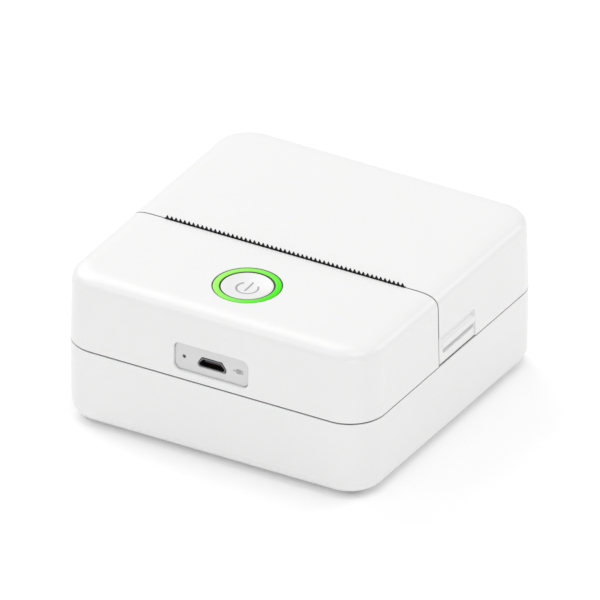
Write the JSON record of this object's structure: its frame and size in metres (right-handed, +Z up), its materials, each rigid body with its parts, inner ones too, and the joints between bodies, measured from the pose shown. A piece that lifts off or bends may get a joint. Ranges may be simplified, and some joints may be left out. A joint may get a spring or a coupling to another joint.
{
  "type": "thermal label printer",
  "caption": "Pocket thermal label printer with a hinged lid over its paper roll, a serrated tear bar, a lit power button and a charging socket.",
  "frame": {"origin": "on the surface the printer stands on, under the middle of the case", "axes": "+Z up; -Y is the front with the charging socket; +X is to the right seen from the front"},
  "size_m": [0.08, 0.08, 0.0388],
  "materials": {
    "shell_white": "satin, fine texture",
    "button_white": "satin",
    "ring_green": "translucent, lit",
    "bezel_grey": "matte",
    "tear_black": "satin black",
    "frame_charcoal": "matte, fine texture",
    "bay_grey": "matte, fine texture",
    "rubber_black": "matte",
    "steel": "ground",
    "aluminium": "satin",
    "head_ceramic": "glazed",
    "gear_white": "satin",
    "board_green": "solder mask",
    "chip_black": "matte",
    "led_yellow": "clear resin over phosphor",
    "lens_smoke": "smoked",
    "battery_wrap": "heat-shrink film",
    "flex_amber": "polyimide film",
    "lead_red": "sleeve",
    "paper_white": "coated",
    "core_card": "raw"
  },
  "bodies": {
    "base": {"bottom_shell": "shell_white", "front_cover": "shell_white", "light_ring": "ring_green", "port_bezel": "bezel_grey", "tear_bar": "tear_black", "mech_frame": "frame_charcoal", "paper_bay": "bay_grey", "foot_front_left": "rubber_black", "foot_front_right": "rubber_black", "foot_rear_left": "rubber_black", "foot_rear_right": "rubber_black", "head_pivot_pin": "steel", "idler_axle": "steel", "reduction_axle": "steel", "stepper_motor": "steel", "socket_shell": "steel", "hinge_pin_left": "steel", "hinge_pin_right": "steel", "head_spring_left": "steel", "head_spring_right": "steel", "case_screw_front_left": "steel", "case_screw_front_right": "steel", "case_screw_rear_left": "steel", "case_screw_rear_right": "steel", "board_screw_left": "steel", "board_screw_right": "steel", "radio_module": "aluminium", "main_board": "board_green", "tact_switch": "chip_black", "control_chip": "chip_black", "head_connector": "chip_black", "battery_connector": "chip_black", "paper_sensor": "chip_black", "socket_tongue": "chip_black", "status_led": "led_yellow", "ring_led_1": "led_yellow", "ring_led_2": "led_yellow", "ring_led_3": "led_yellow", "ring_led_4": "led_yellow", "status_light_pipe": "lens_smoke", "battery_pack": "battery_wrap", "head_flex": "flex_amber", "battery_lead": "lead_red"},
    "lid": {"paper_lid": "shell_white", "platen_carrier": "frame_charcoal", "platen_bush_left": "gear_white", "platen_bush_right": "gear_white"},
    "platen": {"platen_roller": "rubber_black", "platen_shaft": "steel", "platen_gear": "gear_white"},
    "idler": {"idler_gear": "gear_white"},
    "reduction": {"reduction_gear": "gear_white"},
    "motor_rotor": {"motor_shaft": "steel", "motor_pinion": "gear_white"},
    "roll": {"paper_roll": "paper_white", "roll_core": "core_card"},
    "button": {"power_button": "button_white", "switch_plunger": "button_white"},
    "head": {"head_heatsink": "aluminium", "thermal_head": "head_ceramic"}
  },
  "joints": [
    {"name": "lid_hinge", "type": "hinge", "parent": "base", "child": "lid", "pos_m": [0, 0.0384, 0.02155], "axis": [-1, 0, 0], "range_deg": [0, 95]},
    {"name": "platen_spin", "type": "hinge", "parent": "lid", "child": "platen", "pos_m": [0, -0.0012, 0.0278], "axis": [1, 0, 0], "continuous": true},
    {"name": "idler_spin", "type": "hinge", "parent": "base", "child": "idler", "pos_m": [0, -0.0067, 0.01827], "axis": [1, 0, 0], "continuous": true},
    {"name": "reduction_spin", "type": "hinge", "parent": "base", "child": "reduction", "pos_m": [0, -0.01449, 0.01377], "axis": [1, 0, 0], "continuous": true},
    {"name": "motor_spin", "type": "hinge", "parent": "base", "child": "motor_rotor", "pos_m": [0, -0.02533, 0.01186], "axis": [1, 0, 0], "continuous": true},
    {"name": "roll_spin", "type": "hinge", "parent": "base", "child": "roll", "pos_m": [0, 0.0205, 0.0196], "axis": [1, 0, 0], "continuous": true},
    {"name": "button_press", "type": "slide", "parent": "base", "child": "button", "axis": [0, 0, -1], "range_m": [0, 0.0005], "stiffness_N_per_m": 400},
    {"name": "head_pivot", "type": "hinge", "parent": "base", "child": "head", "pos_m": [0, -0.0069, 0.0214], "axis": [1, 0, 0], "range_deg": [0, 2], "stiffness_Nm_per_rad": 0.2, "deforming": ["head_spring_left", "head_spring_right"]}
  ],
  "couplings": [
    {"joint": "idler_spin", "follows": "platen_spin", "ratio": -0.83333},
    {"joint": "reduction_spin", "follows": "platen_spin", "ratio": 1.6667},
    {"joint": "motor_spin", "follows": "platen_spin", "ratio": -4.4444}
  ]
}
